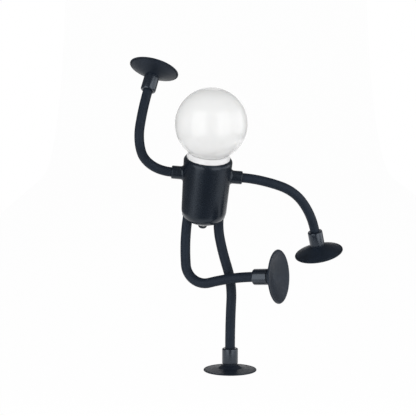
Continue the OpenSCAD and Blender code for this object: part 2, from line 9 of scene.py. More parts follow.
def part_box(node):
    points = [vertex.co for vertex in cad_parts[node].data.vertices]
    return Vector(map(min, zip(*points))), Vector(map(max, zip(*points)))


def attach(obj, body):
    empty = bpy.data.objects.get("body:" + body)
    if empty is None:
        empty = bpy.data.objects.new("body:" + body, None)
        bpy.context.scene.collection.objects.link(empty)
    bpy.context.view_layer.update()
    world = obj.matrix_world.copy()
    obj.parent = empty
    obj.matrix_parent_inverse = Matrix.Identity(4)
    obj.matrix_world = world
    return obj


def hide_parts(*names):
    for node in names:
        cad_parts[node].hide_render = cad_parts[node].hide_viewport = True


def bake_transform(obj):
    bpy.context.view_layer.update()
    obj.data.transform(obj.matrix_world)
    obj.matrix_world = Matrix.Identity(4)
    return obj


bl_info = {
    "name": "Poseable figure night light",
    "version": (1, 0, 0),
    "blender": (4, 5, 0),
    "location": "View3D > Sidebar > Night light",
    "description": "Models the visible pieces of a poseable figure night light and its studio",
    "category": "Object",
}

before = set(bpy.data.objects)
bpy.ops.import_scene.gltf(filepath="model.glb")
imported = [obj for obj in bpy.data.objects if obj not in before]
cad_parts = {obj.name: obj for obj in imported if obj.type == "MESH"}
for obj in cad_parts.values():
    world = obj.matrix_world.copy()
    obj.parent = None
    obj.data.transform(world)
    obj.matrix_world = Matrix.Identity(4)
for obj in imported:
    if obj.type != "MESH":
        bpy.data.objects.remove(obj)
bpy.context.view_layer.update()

MM = 0.001
SIDES = ((-1, "left"), (1, "right"))

# Fineness of the meshes
TURN_STEPS = 96
ROUND_STEPS = 6
CORNER_STEPS = 14
INSIDE_CORNER_STEPS = 10
WALL_STEPS = 10
INSIDE_WALL_STEPS = 8
GLOBE_STEPS = 60
GLOBE_INSIDE_STEPS = 40
CUP_STEPS = 24
BEAD_STEPS = 10
SWEEP_STEPS = 16
STRETCH_STEPS = 30
END_STEPS = 8
SKIN_SIDES = 14
WIRE_SIDES = 4
LIP_SIDES = 3
CUTTER_SIDES = 64
HALVINGS = 30
MERGE = 0.001 * MM
SMOOTH_ANGLE = math.radians(35)

# How each limb is bent: the leans of its four stretches, in degrees, as its solids have them
LEANS = {
    "left_arm": ((27.3, -11.0), (39.7, -15.9), (36.3, 48.2), (7.7, 4.8)),
    "right_arm": ((8.6, 2.6), (10.5, 6.6), (31.2, 3.9), (24.4, -8.5)),
    "kick_leg": ((-4.3, -19.1), (-7.2, -6.4), (-94.1, -32.9), (14.2, -2.0)),
    "stand_leg": ((2.8, 0.5), (-20.1, 9.0), (6.0, -1.9), (12.5, -24.1)),
}
ARM_STRETCHES = (14.0 * MM, 19.5 * MM, 24.0 * MM, 31.5 * MM)
LEG_STRETCHES = (15.0 * MM, 23.5 * MM, 29.5 * MM, 40.4 * MM)
STRETCHES = {
    "left_arm": ARM_STRETCHES,
    "right_arm": ARM_STRETCHES,
    "kick_leg": LEG_STRETCHES,
    "stand_leg": LEG_STRETCHES[::-1],
}

# The bodies along each limb, the two stretches of it that bend, and what those are called
LIMB_BENDS = {
    "left_arm": (("torso", "left_upper", "left_fore"), (0, 2), ("root", "elbow")),
    "right_arm": (("torso", "right_upper", "right_fore"), (0, 2), ("root", "elbow")),
    "kick_leg": (("torso", "kick_thigh", "kick_shin"), (0, 2), ("hip", "knee")),
    "stand_leg": (("foot", "stand_thigh", "torso"), (1, 3), ("knee", "hip")),
}

# The hand or foot at the end of each limb, and the body that it rides on
LIMB_ENDS = {
    "left_arm": ("left_hand", "left_fore"),
    "right_arm": ("right_hand", "right_fore"),
    "kick_leg": ("kick_foot", "kick_shin"),
    "stand_leg": ("stand_foot", "foot"),
}

# How far a limb bends past its bending stretch, as a share of it: in mid limb, and next to a socket
BEND_REACH = 0.25
SOCKET_REACH = 0.45

# Gaps: around a seated piece, and at the bottom of a limb's socket
FIT = 0.05 * MM
END_GAP = 0.1 * MM

# The crest of the body's lip: how far it lies from the mouth, its radius and its height above the mouth
CREST_STEP = 0.3 * MM
CREST_ROUND = 0.5 * MM
CREST_RISE = 0.2 * MM

# How far the middle of a hip's lip stands off the leg, as a share of the lip's radius
HIP_LIP_SEAT = 0.7

# The opening for the charging socket, with its corners as a share of its height
OPENING_WIDTH = 9.6 * MM
OPENING_HEIGHT = 3.9 * MM
OPENING_DEPTH = 14.0 * MM
OPENING_ROUND = 0.3

# The globe's neck, and the edges of the collar
NECK_INSET = 1.2 * MM
COLLAR_OVERHANG = 0.25 * MM
COLLAR_FOOT_ROUND = 0.3 * MM
COLLAR_RIM_ROUND = 0.2 * MM
COLLAR_TOP_ROUND = 0.5 * MM

# The shoulder sleeves: the spigot in the body, the foot on its wall, the arm's stop and the tip
SPIGOT_RADIUS = 3.5 * MM
SPIGOT_END = 14.2 * MM
FOOT_SINK = 0.5 * MM
FOOT_MARGIN = 0.1 * MM
ARM_STOP = 0.4 * MM
TIP_ROUND = 0.9 * MM
TIP_MOUTH_ROUND = 0.25 * MM

# The ferrules and the stems of the cups in them
STEM_RADIUS = 3.3 * MM
STEM_LENGTH = 3.4 * MM
FERRULE_MOUTH_ROUND = 0.3 * MM
FERRULE_NEAR_ROUND = 1.3 * MM
FERRULE_FAR_ROUND = 0.7 * MM
STEM_HOLE_ROUND = 0.2 * MM

# The cups: the pressed brim's bend, the bead's first angle, and where a back ends, in beads from the rim
BRIM_ROUND = 0.5 * MM
BEAD_START = -160
BACK_INSET = 1.1

# The button's flange, the nub on it that works the switch, and the bezel's edges
BUTTON_FLANGE = 0.7 * MM
FLANGE_TOP = 0.85 * MM
NUB_RADIUS = 1.3 * MM
NUB_TOP = 5.0 * MM
BEZEL_BORE_ROUND = 0.1 * MM
BEZEL_ROUND = 0.15 * MM

# Materials: the middle range of a noise, and how far a hidden piece's roughness varies either way
NOISE_RANGE = (0.3, 0.7)
INSIDE_SPREAD = 0.06

# Finishes of the pieces inside the body: each one's name, colour, roughness and share of metal
INSIDE_FINISHES = {
    "lamp_carrier": ("carrier_plastic", (0.05, 0.05, 0.055), 0.5, 0.0),
    "heat_spreader": ("spreader_aluminium", (0.78, 0.78, 0.80), 0.36, 1.0),
    "lamp_board": ("white_solder_mask", (0.78, 0.79, 0.76), 0.42, 0.0),
    "control_board": ("green_solder_mask", (0.02, 0.13, 0.05), 0.36, 0.0),
    "light_chips": ("chip_phosphor", (0.78, 0.60, 0.12), 0.45, 0.0),
    "battery_cell": ("cell_wrap", (0.05, 0.13, 0.38), 0.32, 0.0),
    "power_switch": ("switch_plastic", (0.02, 0.02, 0.022), 0.4, 0.0),
    "lamp_leads": ("lead_red", (0.45, 0.03, 0.025), 0.4, 0.0),
}
STEEL_INSIDE = ("lamp_screws", "board_screws", "charging_socket", "left_shoulder_nut", "right_shoulder_nut")

# The camera, as the photograph was taken
CAMERA_PLACE = Vector((-0.018689, -1.302089, 0.282464))
CAMERA_AIM = Vector((-0.018689, 0.0, 0.138712))
CAMERA_LENS = 135.0
CAMERA_SENSOR = 36.0
CAMERA_CLIP = 0.01

# The studio: a white sheet over a table
SHEET_WIDTH = 0.7
SHEET_COLOUR = (0.86, 0.86, 0.86, 1)
SHEET_ROUGHNESS = 0.9
TABLE_FRONT = -0.13
TABLE_BACK = 2.4
TABLE_EDGE = 0.03
APRON_HEIGHT = 0.9
BACKDROP_HEIGHT = 2.5
SWEEP = 0.6
WHITE = (1, 1, 1, 1)

# Gloss sees the world as white only near straight behind the figure: the least cosine of that angle
BACKDROP_VIEW = 0.95

# The lamps: width and height, place on the right side, and the point that each faces
SIDE_LAMP = ((1.1, 1.9), (0.85, -0.95, 0.32), (-0.02, 0, 0.3))
EDGE_LAMP = ((1.5, 1.3), (1.6, 0.15, 0.3), (-0.02, 0, 0.2))
TOP_LAMP = ((1.2, 1.2), (0.0, 0.1, 1.3), (-0.02, 0, 0.15))


def length(name, description, default):
    """A length property, in metres."""
    return bpy.props.FloatProperty(
        name=name, description=description, default=default, unit="LENGTH", precision=5
    )


def angle(name, description, degrees):
    """An angle property, given in degrees."""
    return bpy.props.FloatProperty(
        name=name, description=description, default=math.radians(degrees), subtype="ANGLE"
    )


def number(name, description, default):
    """A plain number property."""
    return bpy.props.FloatProperty(name=name, description=description, default=default)


def colour(name, description, default):
    """A colour property."""
    return bpy.props.FloatVectorProperty(
        name=name, description=description, default=default, subtype="COLOR", size=3, min=0, max=1
    )


class BodySizes(bpy.types.PropertyGroup):
    """Sizes of the cup-shaped body, its globe and its button."""

    height: length("Height", "Height of the body", 57.8 * MM)
    rim_diameter: length("Rim diameter", "Outside diameter at the rim", 40.4 * MM)
    base_diameter: length("Base diameter", "Outside diameter above the rounded bottom", 37.5 * MM)
    corner: length("Bottom edge", "Radius of the rounded bottom edge", 11.0 * MM)
    rim_round: length("Rim edge", "Height of the rounded rim above the straight wall", 3.0 * MM)
    wall: length("Wall", "Wall of the body", 2.0 * MM)
    swell: length("Swell", "How far the finished skin stands out from the wall", 0.25 * MM)
    lip_height: length("Lip height", "Height of the sloping lip between the wall and the mouth", 2.2 * MM)
    lip_round: length("Lip edge", "Radius of the lip's outer edge", 3.0 * MM)
    lip_drop: length("Lip drop", "Depth of the lip's highest line below the rim", 0.3 * MM)
    mouth_inset: length("Mouth inset", "Width of the lip from the wall's outside to the mouth", 2.3 * MM)
    hip_offset: length("Hip offset", "Distance of each hip from the body's axis", 13.2 * MM)
    hip_splay: angle("Hip splay", "Outward lean of each hip socket", 3.0)
    hip_depth: length("Hip depth", "Depth of each hip socket", 10.0 * MM)
    hip_lip: length("Hip lip", "Radius of the moulded lip round each hip socket", 0.55 * MM)
    turn: angle("Turn", "Turn of the body about the standing hip's socket", -2.7)
    shoulder_height: length("Shoulder height", "Height of the shoulders in the body", 42.0 * MM)
    sleeve_diameter: length("Sleeve diameter", "Outside diameter of a shoulder sleeve", 11.1 * MM)
    sleeve_length: length("Sleeve length", "Length of a shoulder sleeve outside the body", 9.8 * MM)
    sleeve_fillet: length("Sleeve fillet", "Radius of the fillet between sleeve and body", 2.0 * MM)
    globe_diameter: length("Globe diameter", "Outside diameter of the globe", 60.0 * MM)
    globe_wall: length("Globe wall", "Wall of the globe", 1.6 * MM)
    collar_rise: length("Collar rise", "Height of the collar above the rim", 4.7 * MM)
    collar_top: length("Collar top", "Diameter of the collar where the globe sits", 34.2 * MM)
    collar_depth: length("Collar depth", "Depth of the collar inside the body", 8.0 * MM)
    crease_gap: length("Crease", "Height of the groove between the globe and its collar", 0.6 * MM)
    neck_depth: length("Neck depth", "Depth of the globe's neck inside the collar", 4.0 * MM)
    collar_shelf: length("Collar shelf", "Bore of the collar below the globe's neck", 30.8 * MM)
    bezel_height: length("Bezel height", "Height of the button's bezel under the body", 3.0 * MM)
    bezel_diameter: length("Bezel diameter", "Diameter of the bezel at the body", 9.4 * MM)
    bezel_end: length("Bezel end", "Diameter of the bezel at the button", 8.4 * MM)
    button_diameter: length("Button diameter", "Diameter of the push button", 7.6 * MM)
    button_rise: length("Button rise", "Height of the button's cap", 3.2 * MM)
    button_round: length("Button edge", "Radius of the rounded edge of the button's cap", 2.4 * MM)


class LimbSizes(bpy.types.PropertyGroup):
    """Sizes of the limbs, ferrules and suction cups."""

    arm_diameter: length("Arm diameter", "Outside diameter of an arm", 8.0 * MM)
    leg_diameter: length("Leg diameter", "Outside diameter of a leg", 8.4 * MM)
    bore_diameter: length("Bore", "Bore of a limb's skin", 2.4 * MM)
    wire_diameter: length("Wire", "Diameter of the wire in a limb", 2.0 * MM)
    hand_ferrule_diameter: length("Hand ferrule diameter", "Diameter of a hand's ferrule", 12.6 * MM)
    hand_ferrule_length: length("Hand ferrule length", "Length of a hand's ferrule", 12.5 * MM)
    foot_ferrule_diameter: length("Foot ferrule diameter", "Diameter of a foot's ferrule", 13.5 * MM)
    foot_ferrule_length: length("Foot ferrule length", "Length of a foot's ferrule", 13.4 * MM)
    ferrule_socket: length("Ferrule socket", "Depth of the limb's socket in a ferrule", 8.0 * MM)
    hand_cup_diameter: length("Hand cup", "Diameter of a hand's suction cup", 41.5 * MM)
    foot_cup_diameter: length("Foot cup", "Diameter of a foot's suction cup", 45.0 * MM)
    hand_cup_height: length("Hand cup height", "Height of a hand's suction cup", 8.4 * MM)
    free_cup_height: length("Free cup height", "Height of the kicking foot's suction cup", 9.5 * MM)
    pressed_cup_height: length("Pressed cup height", "Height of the cup on the floor", 6.0 * MM)
    free_cup_hollow: length("Free hollow", "Depth of a free cup's hollow", 6.0 * MM)
    pressed_cup_hollow: length("Pressed hollow", "Depth of the pressed cup's hollow", 1.5 * MM)
    free_bowl: number("Free bowl", "How round a free cup's hollow is: 1 is a cone", 1.35)
    pressed_bowl: number("Pressed bowl", "How round the pressed cup's hollow is", 2.0)
    free_flare: number("Free flare", "How sharply a free cup's back flares from its neck", 1.0)
    pressed_cone: length("Pressed cone", "Width of the cone on the pressed cup's back", 4.2 * MM)
    pressed_fall: length("Pressed fall", "Height of the cone on the pressed cup's back", 2.7 * MM)
    cup_lip: length("Cup lip", "Width of a cup's flat lip", 1.4 * MM)
    cup_rim: length("Cup rim", "Thickness of a cup at its rim", 1.0 * MM)
    cup_bead: length("Cup bead", "Diameter of the bead along a cup's rim", 1.2 * MM)
    cup_neck_height: length("Cup neck", "Height of the straight neck under a ferrule", 0.8 * MM)
    cup_neck_step: length("Cup neck step", "How far a cup's neck lies inside its ferrule's edge", 0.5 * MM)


class Finishes(bpy.types.PropertyGroup):
    """Colours of the pieces."""

    shell: colour("Body shell", "Moulded black of the body, sleeves and button", (0.0060, 0.0094, 0.0155))
    skin: colour("Limb skin", "Matte black rubber of the limbs", (0.0098, 0.0150, 0.0245))
    ferrule: colour("Ferrules", "Satin black of the ferrules", (0.0085, 0.0120, 0.0190))
    cup: colour("Suction cups", "Soft black rubber of the cups", (0.0090, 0.0135, 0.0220))
    globe: colour("Globe", "Opal white of the globe", (0.90, 0.90, 0.892))
    collar: colour("Collar", "White plastic of the collar", (0.82, 0.82, 0.825))
    bezel: colour("Bezel", "Pale plastic of the button's bezel", (0.72, 0.71, 0.68))
    sheen: colour("Sheen", "Cool tint of the gloss on the black pieces", (0.78, 0.88, 1.0))
    metal: colour("Metal", "Steel of the wires, nuts and screws", (0.55, 0.55, 0.54))


class StageSettings(bpy.types.PropertyGroup):
    """Light of the studio."""

    side_power: number("Side lamps", "Power of each tall side lamp, in watts", 13.1)
    edge_power: number("Edge lamps", "Power of each dim lamp level with the figure, in watts", 9.0)
    top_power: number("Top lamp", "Power of the lamp overhead, in watts", 3.4)
    fill: number("Fill", "Strength of the even light from all around", 0.17)
    floor_white: number("Floor white", "Share of plain white in the floor as the camera sees it", 0.98)


def sizes():
    """The sizes of the body, and those of the limbs."""
    return bpy.context.scene.night_light_body, bpy.context.scene.night_light_limbs


def finishes():
    return bpy.context.scene.night_light_finishes


# Frames: where each limb's stretches and the body lie


def lifted(distance):
    """A move along +Z."""
    return Matrix.Translation((0, 0, distance))


def along(stretch, lean, share=1.0):
    """The move along a share of one evenly bent stretch."""
    bend = math.radians(math.hypot(*lean)) * share
    if bend == 0:
        return lifted(stretch * share)
    radius = stretch * share / bend
    side = Matrix.Rotation(math.atan2(lean[1], lean[0]), 4, "Z")
    shift = Matrix.Translation((radius * (1 - math.cos(bend)), 0, radius * math.sin(bend)))
    return side @ shift @ Matrix.Rotation(bend, 4, "Y") @ side.inverted()


def chain(limb_name, start):
    """The frames at the ends of a limb's stretches."""
    frames = [start]
    for stretch, lean in zip(STRETCHES[limb_name], LEANS[limb_name]):
        frames.append(frames[-1] @ along(stretch, lean))
    return frames


def stand_chain():
    """The frames of the standing leg, from its ferrule up to its hip."""
    _, limb = sizes()
    return chain("stand_leg", lifted(limb.pressed_cup_height + limb.foot_ferrule_length))


def hip_frame(side):
    """A hip socket's frame in the body, with +Z into the body."""
    body, _ = sizes()
    splay = Matrix.Rotation(-side * body.hip_splay, 4, "Y")
    return Matrix.Translation((side * body.hip_offset, 0, 0)) @ splay


def body_frame():
    """The body's frame, which stands on the standing leg's hip."""
    body, _ = sizes()
    return stand_chain()[-1] @ Matrix.Rotation(body.turn, 4, "Z") @ hip_frame(1).inverted()


def shoulder_frame(side):
    """A shoulder's frame in the body, on its axis, with +Z out along the arm."""
    body, _ = sizes()
    return lifted(body.shoulder_height) @ Matrix.Rotation(side * math.pi / 2, 4, "Y")


def limb_chain(limb_name):
    """The frames at the ends of a limb's stretches, in its place on the figure."""
    body, _ = sizes()
    if limb_name == "stand_leg":
        return stand_chain()
    if limb_name == "kick_leg":
        start = hip_frame(-1) @ Matrix.Rotation(math.pi, 4, "Y")
    else:
        tip = body_radius(body.shoulder_height) + body.sleeve_length
        start = shoulder_frame(-1 if limb_name == "left_arm" else 1) @ lifted(tip)
    return chain(limb_name, body_frame() @ start)


def cup_frame(limb_name):
    """The frame at a limb's ferrule, with +Z towards its cup."""
    if limb_name == "stand_leg":
        return stand_chain()[0] @ Matrix.Rotation(math.pi, 4, "X")
    return limb_chain(limb_name)[-1]


def body_radius(height):
    """Outside radius of the tapered body at a height."""
    body, _ = sizes()
    taper = (body.rim_diameter - body.base_diameter) / 2
    rise = body.height - body.rim_round - body.corner
    return body.base_diameter / 2 + taper * (height - body.corner) / rise


def skin_radius(height):
    """Outside radius of the body's finished skin at a height."""
    body, _ = sizes()
    return body_radius(height) + body.swell


# Modelling helpers


def clear_selection():
    bpy.ops.object.select_all(action="DESELECT")


def select_only(piece):
    clear_selection()
    piece.select_set(True)
    bpy.context.view_layer.objects.active = piece


def drawn_line(name, points, closed):
    """A curve drawn through points."""
    clear_selection()
    bpy.ops.curve.primitive_nurbs_path_add(location=(0, 0, 0))
    line = bpy.context.object
    line.name = name
    line.data.name = name
    line.data.splines.clear()
    spline = line.data.splines.new("POLY")
    spline.points.add(len(points) - 1)
    for point, place in zip(spline.points, points):
        point.co = (*place, 1.0)
    spline.use_cyclic_u = closed
    return line


def apply_modifier(piece, kind, **settings):
    select_only(piece)
    modifier = piece.modifiers.new(kind.lower(), kind)
    for setting, value in settings.items():
        setattr(modifier, setting, value)
    bpy.ops.object.modifier_apply(modifier=modifier.name)


def select_edges(piece, wanted):
    """Go into edit mode with only the edges selected whose two ends pass a test."""
    select_only(piece)
    bpy.ops.object.mode_set(mode="EDIT")
    bpy.ops.mesh.select_mode(type="EDGE")
    bpy.ops.mesh.select_all(action="DESELECT")
    bpy.ops.object.mode_set(mode="OBJECT")
    points = piece.data.vertices
    for edge in piece.data.edges:
        first, second = edge.vertices
        edge.select = wanted(points[first].co, points[second].co)
    bpy.ops.object.mode_set(mode="EDIT")


def bevel_edges(piece, wanted, offset, steps):
    """Round the edges whose two ends pass a test."""
    select_edges(piece, wanted)
    bpy.ops.mesh.bevel(offset=offset, segments=steps, affect="EDGES")
    bpy.ops.object.mode_set(mode="OBJECT")


def smooth(piece):
    select_only(piece)
    bpy.ops.object.shade_smooth_by_angle(angle=SMOOTH_ANGLE)


def tidy_normals(piece):
    select_only(piece)
    bpy.ops.object.mode_set(mode="EDIT")
    bpy.ops.mesh.select_all(action="SELECT")
    bpy.ops.mesh.remove_doubles(threshold=MERGE)
    bpy.ops.mesh.normals_make_consistent(inside=False)
    bpy.ops.object.mode_set(mode="OBJECT")


def turned(name, outline, closed=False):
    """A piece turned about the Z axis from an outline of (radius, height) points."""
    drawn_line(name, [(radius, 0, height) for radius, height in outline], closed)
    bpy.ops.object.convert(target="MESH")
    piece = bpy.context.object
    bpy.ops.object.mode_set(mode="EDIT")
    bpy.ops.mesh.select_all(action="SELECT")
    bpy.ops.mesh.spin(steps=TURN_STEPS, angle=math.tau, center=(0, 0, 0), axis=(0, 0, 1))
    bpy.ops.object.mode_set(mode="OBJECT")
    tidy_normals(piece)
    smooth(piece)
    return piece


def swept(name, points, radius, sides, closed=False, capped=False):
    """A round bar along points."""
    line = drawn_line(name, points, closed)
    line.data.dimensions = "3D"
    line.data.use_fill_caps = capped
    line.data.bevel_depth = radius
    line.data.bevel_resolution = sides
    bpy.ops.object.convert(target="MESH")
    piece = bpy.context.object
    tidy_normals(piece)
    return piece


def settle(piece, place):
    """Put a piece in its frame, with its place in its mesh."""
    select_only(piece)
    piece.matrix_world = place
    bpy.ops.object.transform_apply(location=True, rotation=True, scale=True)
    return piece


def cut(piece, cutter):
    apply_modifier(piece, "BOOLEAN", object=cutter, operation="DIFFERENCE", solver="EXACT")
    bpy.data.objects.remove(cutter)


def join(piece, *others):
    select_only(piece)
    for other in others:
        other.select_set(True)
    bpy.ops.object.join()


def coat(piece, make):
    """Give a piece the material that a function makes, as its only one."""
    piece.data.materials.clear()
    piece.data.materials.append(finish(make))


def dress(piece, make, body, slot, *nodes):
    """Give a finished piece its material and the body that it rides on, and hide the nodes that it stands
    for.
    """
    coat(piece, make)
    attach(piece, body)
    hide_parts(*nodes)


# Outlines of (radius, height) points


def arc(centre, radius, start, end, steps):
    """Points on an arc, from a start angle to an end angle in degrees."""
    turns = [math.radians(start + (end - start) * k / steps) for k in range(steps + 1)]
    return [(centre[0] + radius * math.cos(a), centre[1] + radius * math.sin(a)) for a in turns]


def between(start, end, steps):
    """Points on a straight line, without its ends."""
    return [tuple(a + (b - a) * k / steps for a, b in zip(start, end)) for k in range(1, steps)]


def rounded(corners):
    """An outline through (radius, height, round) corners, each rounded by an arc."""
    points = []
    for k, (radius, height, fillet) in enumerate(corners):
        here = Vector((radius, height))
        if fillet == 0 or k in (0, len(corners) - 1):
            points.append((radius, height))
            continue
        back = (Vector(corners[k - 1][:2]) - here).normalized()
        ahead = (Vector(corners[k + 1][:2]) - here).normalized()
        half = back.angle(ahead) / 2
        centre = here + (back + ahead).normalized() * (fillet / math.sin(half))
        first = here + back * (fillet / math.tan(half)) - centre
        last = here + ahead * (fillet / math.tan(half)) - centre
        for step in range(ROUND_STEPS + 1):
            turn = first.slerp(last, step / ROUND_STEPS)
            points.append(tuple(centre + turn.normalized() * fillet))
    return points


# Materials


def put(node, **values):
    """Set inputs of a node; a low line stands for a space in an input's name."""
    for socket, value in values.items():
        node.inputs[socket.replace("_", " ")].default_value = value


class Paint:
    """A material's nodes, with short calls that add and join them."""

    def __init__(self, name):
        self.material = bpy.data.materials.new(name)
        self.material.use_nodes = True
        self.tree = self.material.node_tree
        self.shader = self.tree.nodes["Principled BSDF"]
        self.place = self.tree.nodes.new("ShaderNodeTexCoord").outputs["Object"]

    def add(self, kind, source, target, **values):
        """A new node with a source joined to one of its inputs, and values in others."""
        node = self.tree.nodes.new(kind)
        put(node, **values)
        self.tree.links.new(source, node.inputs[target])
        return node

    def link(self, source, target):
        """Join a source to an input of the shader."""
        self.tree.links.new(source, self.shader.inputs[target])

    def noise(self, scale, detail=3.0, stretch=None):
        """A noise in metres: scale is the number of grains in a metre."""
        place = self.place
        if stretch is not None:
            place = self.add("ShaderNodeMapping", place, "Vector", Scale=stretch).outputs["Vector"]
        return self.add("ShaderNodeTexNoise", place, "Vector", Scale=scale, Detail=detail).outputs["Fac"]

    def tone(self, source, base, spread):
        """Base colour that varies by a share either way."""
        ramp = self.add("ShaderNodeValToRGB", source, "Fac")
        shares = (1 - spread, 1 + spread)
        for element, place, share in zip(ramp.color_ramp.elements, NOISE_RANGE, shares):
            element.position = place
            element.color = (*[c * share for c in base], 1)
        self.link(ramp.outputs["Color"], "Base Color")

    def rough(self, source, least, most):
        """Roughness that varies between two values."""
        node = self.add("ShaderNodeMapRange", source, "Value", To_Min=least, To_Max=most)
        put(node, From_Min=NOISE_RANGE[0], From_Max=NOISE_RANGE[1])
        self.link(node.outputs["Result"], "Roughness")

    def sheen(self, level):
        """Gloss with the cool tint of the black pieces."""
        put(self.shader, Specular_IOR_Level=level, Specular_Tint=(*finishes().sheen, 1))

    def bump(self, source, height, strength):
        """Fine relief of a height in metres."""
        node = self.add("ShaderNodeBump", source, "Height", Strength=strength, Distance=height)
        self.link(node.outputs["Normal"], "Normal")


def moulded_black():
    """Satin black moulding with a fine spark-eroded grain."""
    paint = Paint("moulded_black")
    paint.tone(paint.noise(90.0), finishes().shell, spread=0.12)
    paint.rough(paint.noise(700.0), least=0.22, most=0.29)
    paint.sheen(level=0.42)
    paint.bump(paint.noise(5200.0, detail=2.0), height=0.02 * MM, strength=0.35)
    return paint.material


def limb_rubber():
    """Matte black extruded rubber with a fine uneven grain."""
    paint = Paint("limb_rubber")
    paint.tone(paint.noise(160.0), finishes().skin, spread=0.16)
    paint.rough(paint.noise(900.0), least=0.52, most=0.64)
    paint.sheen(level=0.22)
    paint.bump(paint.noise(2600.0, detail=5.0), height=0.05 * MM, strength=0.4)
    return paint.material


def ferrule_black():
    """Smoother satin black of the ferrules."""
    paint = Paint("ferrule_black")
    paint.tone(paint.noise(140.0), finishes().ferrule, spread=0.12)
    paint.rough(paint.noise(800.0), least=0.21, most=0.27)
    paint.sheen(level=0.75)
    paint.bump(paint.noise(4600.0, detail=2.0), height=0.02 * MM, strength=0.15)
    return paint.material


def soft_rubber():
    """Soft black rubber of the suction cups, slightly dusty."""
    paint = Paint("soft_rubber")
    paint.tone(paint.noise(120.0, detail=5.0), finishes().cup, spread=0.2)
    paint.rough(paint.noise(420.0, detail=4.0), least=0.40, most=0.52)
    paint.sheen(level=0.26)
    paint.bump(paint.noise(3400.0), height=0.03 * MM, strength=0.3)
    return paint.material


def opal_white():
    """Opal plastic that scatters light, with a soft gloss."""
    paint = Paint("opal_white")
    paint.tone(paint.noise(60.0, detail=2.0), finishes().globe, spread=0.012)
    paint.rough(paint.noise(300.0), least=0.13, most=0.17)
    put(paint.shader, Subsurface_Weight=0.3, Subsurface_Scale=3 * MM, Subsurface_Radius=(1.0, 0.95, 0.9))
    paint.bump(paint.noise(1400.0, detail=2.0), height=0.01 * MM, strength=0.2)
    return paint.material


def collar_white():
    """White satin plastic."""
    paint = Paint("collar_white")
    paint.tone(paint.noise(110.0), finishes().collar, spread=0.015)
    paint.rough(paint.noise(700.0), least=0.32, most=0.42)
    paint.bump(paint.noise(4800.0, detail=2.0), height=0.015 * MM, strength=0.3)
    return paint.material


def bezel_pale():
    """Pale satin plastic of the button's bezel."""
    paint = Paint("bezel_pale")
    paint.tone(paint.noise(200.0), finishes().bezel, spread=0.03)
    paint.rough(paint.noise(900.0), least=0.3, most=0.4)
    paint.bump(paint.noise(5000.0, detail=2.0), height=0.015 * MM, strength=0.3)
    return paint.material


def drawn_steel():
    """Steel with fine drawn lines."""
    paint = Paint("drawn_steel")
    paint.tone(paint.noise(400.0), finishes().metal, spread=0.1)
    streaks = paint.noise(900.0, detail=4.0, stretch=(1.0, 1.0, 14.0))
    paint.rough(streaks, least=0.26, most=0.44)
    put(paint.shader, Metallic=1.0)
    paint.bump(streaks, height=0.01 * MM, strength=0.3)
    return paint.material


def plain_inside(name, base, rough, metallic):
    """A finish for a piece inside the body: its colour varies a little and it has a fine grain."""
    paint = Paint(name)
    paint.tone(paint.noise(220.0, detail=4.0), base, spread=0.1)
    paint.rough(paint.noise(800.0), least=rough - INSIDE_SPREAD, most=rough + INSIDE_SPREAD)
    put(paint.shader, Metallic=metallic)
    paint.bump(paint.noise(3800.0, detail=2.0), height=0.02 * MM, strength=0.3)
    return paint.material


def finish(make):
    """The material that a function makes, made only once."""
    return bpy.data.materials.get(make.__name__) or make()


# The body, with its globe, sleeves and button


def body_outline():
    """The body's wall: up the outside, over the rim and down the inside."""
    body, _ = sizes()
    floor_radius = skin_radius(body.corner) - body.corner
    rim = body.rim_diameter / 2 + body.swell
    hole = body.button_diameter / 2 + BUTTON_FLANGE + FIT
    mouth = body_radius(body.height) - body.mouth_inset
    lip_top = body.height - body.lip_drop
    outside = arc((floor_radius, body.corner), body.corner, -90, 0, CORNER_STEPS)
    lip = rounded([
        (*outside[-1], 0),
        (rim, lip_top - body.lip_height, body.lip_round),
        (mouth + CREST_STEP, lip_top, CREST_ROUND),
        (mouth, lip_top - CREST_RISE, 0),
    ])
    outside += between(lip[0], lip[1], WALL_STEPS) + lip[1:]
    inner = arc((floor_radius, body.corner), body.corner - body.wall, 0, -90, INSIDE_CORNER_STEPS)
    inside = between(lip[-1], inner[0], INSIDE_WALL_STEPS) + inner
    return [(hole, 0), *outside, *inside, (hole, body.wall)]


def bottom_spot(side, across, ahead):
    """The point of the body's rounded bottom on a line along a hip's axis, found by halving."""
    body, _ = sizes()
    centre = Vector((skin_radius(body.corner) - body.corner, body.corner))
    low, high = -body.wall, body.corner
    for _ in range(HALVINGS):
        middle = (low + high) / 2
        spot = hip_frame(side) @ Vector((across, ahead, middle))
        out = Vector((math.hypot(spot.x, spot.y), spot.z))
        inside = spot.z > 0 if out.x < centre.x else (out - centre).length < body.corner
        low, high = (low, middle) if inside else (middle, high)
    return spot


def hip_lip(side):
    """A small rounded lip where a leg goes into the body, along the edge of its hole."""
    body, limb = sizes()
    radius = limb.leg_diameter / 2 + body.hip_lip * HIP_LIP_SEAT
    turns = [math.tau * k / TURN_STEPS for k in range(TURN_STEPS)]
    points = [bottom_spot(side, radius * math.cos(turn), radius * math.sin(turn)) for turn in turns]
    return swept("hip_lip", points, body.hip_lip, LIP_SIDES, closed=True)


def slot_cutter():
    """A flat round-ended slot along +Y, for the charging socket's opening."""
    clear_selection()
    bpy.ops.mesh.primitive_cube_add(size=1, location=(0, 0, 0))
    cutter = bpy.context.object
    cutter.dimensions = (OPENING_WIDTH, OPENING_DEPTH, OPENING_HEIGHT)
    bpy.ops.object.transform_apply(location=True, rotation=True, scale=True)

    def runs_along(first, second):
        return abs(first.y - second.y) > OPENING_DEPTH / 2

    bevel_edges(cutter, runs_along, OPENING_HEIGHT * OPENING_ROUND, ROUND_STEPS)
    return cutter


def round_cutter(diameter, depth, place):
    clear_selection()
    bpy.ops.mesh.primitive_cylinder_add(vertices=CUTTER_SIDES, radius=diameter / 2, depth=depth)
    return settle(bpy.context.object, place)


